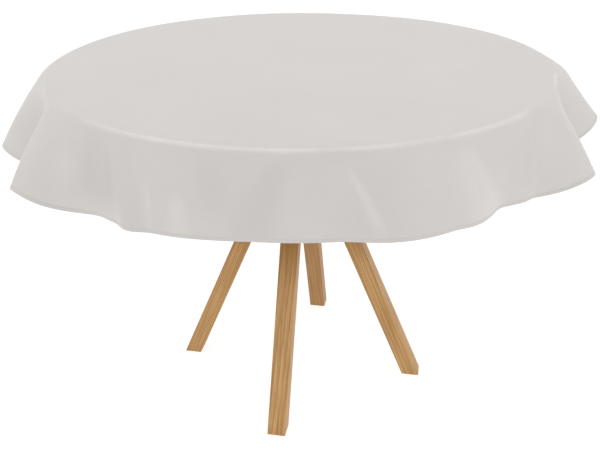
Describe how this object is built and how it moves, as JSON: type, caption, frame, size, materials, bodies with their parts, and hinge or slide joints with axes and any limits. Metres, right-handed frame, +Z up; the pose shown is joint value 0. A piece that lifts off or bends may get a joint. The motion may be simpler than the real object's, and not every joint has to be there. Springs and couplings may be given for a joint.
{
  "type": "round table with tablecloth",
  "caption": "Round table on splayed square oak legs, dressed with a plain round tablecloth that hangs in soft folds and lifts off.",
  "frame": {"origin": "on the floor, straight below the middle of the round tabletop", "axes": "+Z up, -Y towards the viewer of the front, +X to the viewer's right; the leg cross is turned 10.7 degrees clockwise from the axes"},
  "size_m": [1.2669, 1.1655, 0.76],
  "materials": {
    "cloth": "smooth matt coated weave",
    "cloth_hem": "turned and stitched edge of the same weave",
    "oak_leg": "oiled oak, grain along the leg",
    "oak_board": "oiled oak board",
    "black_steel": "matt powder coat",
    "zinc": "zinc plated",
    "brass": "plain",
    "nylon": "brown nylon"
  },
  "bodies": {
    "table": {"tabletop": "oak_board", "batten_front": "oak_board", "batten_back": "oak_board", "batten_screws": "zinc", "mount_plate": "black_steel", "plate_screws": "zinc", "post_screws": "zinc", "post": "oak_leg", "leg_right": "oak_leg", "leg_back": "oak_leg", "leg_left": "oak_leg", "leg_front": "oak_leg", "leg_bolts": "zinc", "leg_washers": "zinc", "leg_inserts": "brass", "foot_glides": "nylon", "glide_nails": "zinc"},
    "cloth": {"tablecloth": "cloth", "hem": "cloth_hem"}
  },
  "joints": [
    {"name": "cloth_lift", "type": "slide", "parent": "table", "child": "cloth", "axis": [0, 0, 1], "range_m": [0, 0.4]}
  ]
}
